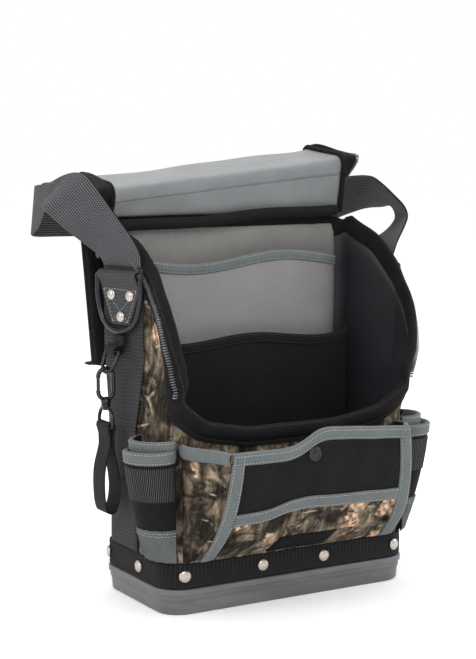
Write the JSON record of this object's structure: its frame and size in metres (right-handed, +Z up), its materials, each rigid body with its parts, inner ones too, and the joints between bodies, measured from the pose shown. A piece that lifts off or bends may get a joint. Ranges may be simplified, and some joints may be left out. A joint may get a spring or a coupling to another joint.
{
  "type": "electrician tool pouch",
  "caption": "Soft tool pouch on a moulded base tray, with a zipped lid folded back, tiered inner pockets, outer pockets, carry strap, D-rings and a swivel hook.",
  "frame": {"origin": "centre of the underside of the base tray", "axes": "+Z up, +X to the right seen from the front, +Y to the rear; the front pocket faces -Y"},
  "size_m": [0.3793, 0.2762, 0.4036],
  "materials": {
    "tray_plastic": "moulded mid-grey plastic, fine grain",
    "black_webbing": "ribbed black webbing",
    "rivet_metal": "nickel-plated domes",
    "woodland_cloth": "woven polyester with a bark and leaf pattern",
    "black_cloth": "plain black pack cloth",
    "zipper_teeth": "moulded black teeth",
    "board_plastic": "dark stiffener sheet",
    "mesh_cloth": "grey mesh lining",
    "lining_cloth": "grey lining cloth, slight sheen",
    "binding_tape": "grey binding tape, stitched",
    "label_rubber": "blank black label",
    "black_metal": "glossy black plating",
    "grey_webbing": "ribbed dark grey webbing"
  },
  "bodies": {
    "pouch": {"base_tray": "tray_plastic", "base_band": "black_webbing", "small_ring_tab": "black_webbing", "band_rivet_1": "rivet_metal", "band_rivet_2": "rivet_metal", "band_rivet_3": "rivet_metal", "band_rivet_4": "rivet_metal", "band_rivet_5": "rivet_metal", "band_rivet_6": "rivet_metal", "band_rivet_7": "rivet_metal", "band_rivet_8": "rivet_metal", "band_rivet_9": "rivet_metal", "band_rivet_10": "rivet_metal", "tab_rivet_1": "rivet_metal", "tab_rivet_2": "rivet_metal", "tab_rivet_3": "rivet_metal", "tab_rivet_4": "rivet_metal", "tab_rivet_5": "rivet_metal", "tab_rivet_6": "rivet_metal", "body_shell": "woodland_cloth", "front_pocket": "woodland_cloth", "zip_tape": "black_cloth", "tier_middle": "black_cloth", "tier_front": "black_cloth", "side_pocket_left": "black_cloth", "side_pocket_right": "black_cloth", "pen_pocket_left": "black_cloth", "pen_pocket_right": "black_cloth", "zip_chain": "zipper_teeth", "back_board": "board_plastic", "mesh_panel": "mesh_cloth", "tier_top": "lining_cloth", "front_pocket_top_binding": "binding_tape", "front_pocket_lower_binding": "binding_tape", "front_pocket_left_binding": "binding_tape", "front_pocket_right_binding": "binding_tape", "label": "label_rubber", "snap_cap": "black_metal", "zip_slider_left": "black_metal", "zip_slider_right": "black_metal", "side_webbing_left": "grey_webbing", "side_webbing_right": "grey_webbing", "ring_tab_left": "grey_webbing", "ring_tab_right": "grey_webbing"},
    "lid_rise": {"lid_rise_panel": "lining_cloth"},
    "lid_crown": {"lid_crown_panel": "lining_cloth"},
    "lid_front": {"lid_front_panel": "lining_cloth", "lid_gusset_left": "black_cloth", "lid_gusset_right": "black_cloth", "lid_gusset_end": "black_cloth"},
    "carry_strap": {"carry_strap": "grey_webbing"},
    "ring_left": {"ring_left": "black_metal"},
    "ring_right": {"ring_right": "black_metal"},
    "small_ring": {"small_ring": "black_metal"},
    "hook": {"hook_body": "black_metal"},
    "hook_gate": {"hook_gate": "black_metal"},
    "tape_hanger": {"hook_eye": "black_metal", "tape_strap": "black_webbing"},
    "zip_pull_left": {"zip_pull_left": "black_metal"},
    "zip_pull_right": {"zip_pull_right": "black_metal"}
  },
  "joints": [
    {"name": "lid_root_hinge", "type": "hinge", "parent": "pouch", "child": "lid_rise", "pos_m": [0, 0.05, 0.347], "axis": [0.995, 0, 0.0995], "range_deg": [0, 50], "deforming": ["lid_gusset_left", "lid_gusset_right", "lid_gusset_end"]},
    {"name": "lid_front_corner", "type": "hinge", "parent": "lid_rise", "child": "lid_crown", "pos_m": [0, 0.041, 0.378], "axis": [0.995, 0, 0.0995], "range_deg": [0, 140]},
    {"name": "lid_rear_corner", "type": "hinge", "parent": "lid_crown", "child": "lid_front", "pos_m": [0, 0.114, 0.388], "axis": [0.995, 0, 0.0995], "range_deg": [0, 172]},
    {"name": "carry_strap_swing", "type": "hinge", "parent": "pouch", "child": "carry_strap", "pos_m": [0, 0.016, 0.297], "axis": [1, 0, 0], "range_deg": [0, 120], "deforming": ["carry_strap"]},
    {"name": "ring_left_swing", "type": "hinge", "parent": "pouch", "child": "ring_left", "pos_m": [-0.13199, 0.01425, 0.29], "axis": [-0.2425, 0.9701, 0], "range_deg": [0, 90]},
    {"name": "ring_right_swing", "type": "hinge", "parent": "pouch", "child": "ring_right", "pos_m": [0.14399, 0.01775, 0.29], "axis": [0.2425, -0.9701, 0], "range_deg": [0, 90]},
    {"name": "small_ring_swing", "type": "hinge", "parent": "pouch", "child": "small_ring", "pos_m": [-0.13705, 0.016, 0.224], "axis": [0, 1, 0], "range_deg": [0, 45]},
    {"name": "hook_swing", "type": "hinge", "parent": "small_ring", "child": "hook", "pos_m": [-0.14492, 0.016, 0.20453], "axis": [0, 1, 0], "range_deg": [0, 40]},
    {"name": "hook_gate_press", "type": "hinge", "parent": "hook", "child": "hook_gate", "pos_m": [-0.15222, 0.016, 0.18693], "axis": [0, 1, 0], "range_deg": [0, 26], "stiffness_Nm_per_rad": 0.02, "springref_deg": -17.19},
    {"name": "hook_swivel", "type": "hinge", "parent": "hook", "child": "tape_hanger", "pos_m": [-0.14492, 0.016, 0.17893], "axis": [0, 0, 1], "continuous": true},
    {"name": "zip_pull_left_lift", "type": "hinge", "parent": "pouch", "child": "zip_pull_left", "pos_m": [-0.13663, 0.04613, 0.33264], "axis": [0, 1, 0], "range_deg": [0, 80]},
    {"name": "zip_pull_right_lift", "type": "hinge", "parent": "pouch", "child": "zip_pull_right", "pos_m": [0.13663, 0.04613, 0.33264], "axis": [0, -1, 0], "range_deg": [0, 80]}
  ],
  "couplings": [
    {"joint": "lid_front_corner", "follows": "lid_root_hinge", "ratio": 2.8},
    {"joint": "lid_rear_corner", "follows": "lid_root_hinge", "ratio": 3.44}
  ]
}
